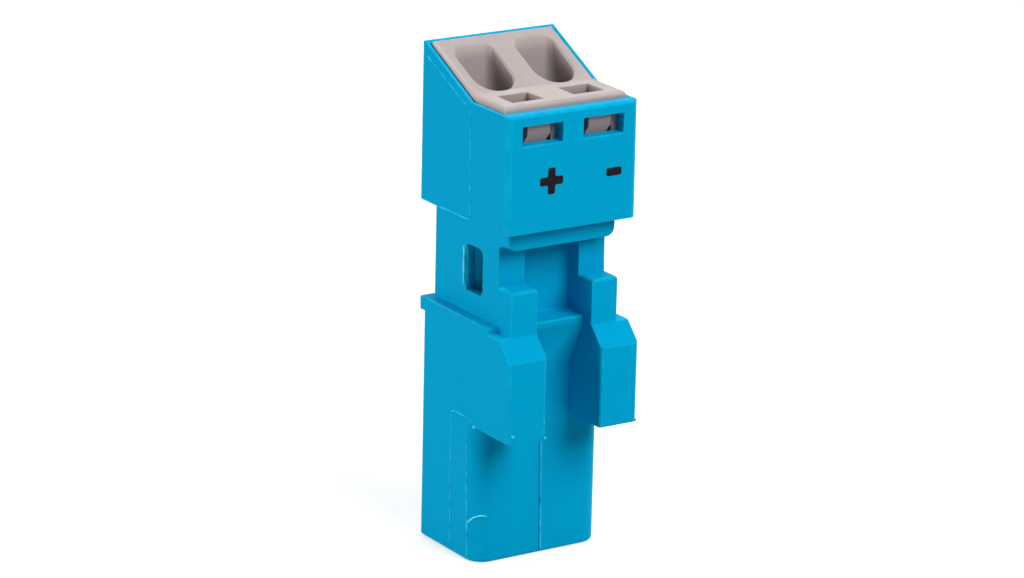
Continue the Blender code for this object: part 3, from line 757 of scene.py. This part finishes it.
def add_flash(housing):
    """Seams, flash at the windows, one loose fibre, burrs and fine specks on the housing."""
    # The pale flash is partly a painted highlight, the palest a painted glint, the dark seam a painted
    # shadow
    pale = blue_flash_and_painted_light("blue_flash_and_painted_light", BLUE, BLUE_FLASH_HIGHLIGHT)
    step_shadow = blue_flash_and_painted_light("blue_step_shadow", BLUE_STEP_SHADOW, BLUE_DEEP)
    bright = blue_flash_and_painted_light("blue_painted_glint", BLUE_FLASH_HIGHLIGHT, BLUE_PAINTED_GLINT)
    ridge = seam_tree()
    specks = speck_tree()
    window_edges = [on_side(side, NECK_SIDE, WINDOW_EDGE) for side in (-1, 1)]
    ridges = (("mould_seams", seam_paths(), SEAM_RADIUS, pale),
              # Dark ridge painted as the shadow of the parting line's step
              ("parting_line_shadow", [on_front(SLEEVE_FRONT, SLEEVE_SEAM)], PARTING_RADIUS, step_shadow),
              # Flash on the window edges, painted pale as a glint
              ("window_flash_glint", window_edges, EDGE_RADIUS, bright),
              ("flash_fibre", [on_corner(FIBRE)], FIBRE_RADIUS, bright))
    pieces = []
    for name, paths, radius, finish in ridges:
        route = path_mesh(name, *paths)
        pieces.append(grow(name, route, ridge, Radius=radius, Step=SEAM_STEP, Finish=finish))
    grounds = (("flash_specks", housing.data.copy(), SPECK_RADIUS, SPECK_DENSITY, pale),
               ("flash_burrs", burr_faces(), BURR_RADIUS, BURR_DENSITY, bright))
    for name, ground, radius, density, finish in grounds:
        pieces.append(grow(name, ground, specks, Radius=radius, Density=density, Finish=finish))
    for piece in pieces:
        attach(piece, BODY)


# Stage

def seen_mask(graph):
    """1 for what the camera sees, also in metal, 0 for light that falls on the object."""
    camera, glossy, through = (graph.add("ShaderNodeLightPath", output=kind) for kind in SEEN_RAYS)
    return 1 - (1 - camera) * (1 - glossy) * (1 - through)


def floor_paint():
    """Matt pale floor, lifted to white for the camera only."""
    material, graph, inputs = new_finish("pale_floor", {"Roughness": 0.9, "Specular IOR Level": 0.0})
    soft = graph.noise(40, 2)
    graph.feed(inputs["Base Color"], graph.mix(FLOOR_MOTTLE * soft, FLOOR, WHITE))
    inputs["Emission Strength"].default_value = FLOOR_LIFT
    graph.feed(inputs["Emission Color"], graph.mix(seen_mask(graph), BLACK, WHITE))
    return material


def add_floor():
    shape = bmesh.new()
    place = Matrix.Translation((0, 0, -FLOOR_DROP))
    bmesh.ops.create_grid(shape, x_segments=1, y_segments=1, size=FLOOR_SIZE / 2, matrix=place)
    mesh = bpy.data.meshes.new("floor")
    shape.to_mesh(mesh)
    shape.free()
    mesh.materials.append(floor_paint())
    new_piece("floor", mesh)


def add_world():
    """Even grey light all round, white where the camera looks past the floor."""
    world = bpy.data.worlds.new("studio")
    world.use_nodes = True
    graph = Graph(world.node_tree)
    background = world.node_tree.nodes["Background"]
    strength = WORLD_LEVEL + (1 - WORLD_LEVEL) * seen_mask(graph)
    background.inputs["Color"].default_value = WHITE
    graph.feed(background.inputs["Strength"], strength)
    bpy.context.scene.world = world


def aim(azimuth, elevation):
    """Direction from the connector, by angles round from its front and up from the floor."""
    flat = math.cos(elevation)
    return Vector((math.sin(azimuth) * flat, -math.cos(azimuth) * flat, math.sin(elevation)))


def add_softbox(name, azimuth, elevation, level):
    """Square lamp that faces the connector; level is the white that it gives a facing surface."""
    lamp = bpy.data.lights.new(name, "AREA")
    lamp.shape = "SQUARE"
    lamp.size = LAMP_SIZE
    lamp.energy = level * (math.pi * LAMP_DISTANCE) ** 2
    away = aim(math.radians(azimuth), math.radians(elevation))
    box = new_piece(name, lamp)
    place = Matrix.Translation(VIEW_TARGET + LAMP_DISTANCE * away)
    box.matrix_world = place @ away.to_track_quat("Z", "Y").to_matrix().to_4x4()


def add_camera():
    away = aim(VIEW_AZIMUTH, VIEW_ELEVATION)
    level = Vector((math.cos(VIEW_AZIMUTH), math.sin(VIEW_AZIMUTH), 0))
    upright = level.cross(-away)
    right = math.cos(VIEW_ROLL) * level + math.sin(VIEW_ROLL) * upright
    up = math.cos(VIEW_ROLL) * upright - math.sin(VIEW_ROLL) * level
    lens = bpy.data.cameras.new("camera")
    lens.sensor_fit = "HORIZONTAL"
    lens.sensor_width = SENSOR_WIDTH
    lens.lens = FOCAL_PIXELS * SENSOR_WIDTH / IMAGE_WIDTH
    lens.clip_start = CLIP_START
    camera = new_piece("camera", lens)
    axes = Matrix((right, up, away)).transposed().to_4x4()
    camera.matrix_world = Matrix.Translation(VIEW_TARGET + VIEW_DISTANCE * away) @ axes
    bpy.context.scene.camera = camera


add_camera()
bpy.context.scene.view_settings.view_transform = "Standard"
add_world()
for softbox in SOFTBOXES:
    add_softbox(*softbox)
add_floor()

# The second blue is a painted highlight on narrow rounded edges, rims and chamfers
blues = [blue_moulding(), blue_flash_and_painted_light("blue_edge_highlight", BLUE, BLUE_EDGE_HIGHLIGHT)]
greys = [grey_moulding()]
moulded_housing = dress("housing", "moulded_housing", MOULD_ROUND, blues)
dress("wire_entry_insert", "moulded_insert", INSERT_ROUND, greys, SQUARE_ANGLE)
tinned = rolled_metal("tinned_strip", TIN, TIN_DULL, BAR_STRETCH)
sprung = rolled_metal("spring_strip", STEEL, STEEL_DULL, SPRING_STRETCH)
sweep = strip_tree()
for pole in POLES:
    dress("contact_" + pole, "stamped_contact_" + pole, METAL_ROUND, [tinned])
    add_spring(pole, sweep, sprung)

printed = black_ink()
add_mark("plus_mark", plus_outline(MARK_SIZE, MARK_BAR), PLUS_X, printed)
add_mark("minus_mark", bar_outline(MINUS_LENGTH, MARK_BAR), MINUS_X, printed)
add_flash(moulded_housing)
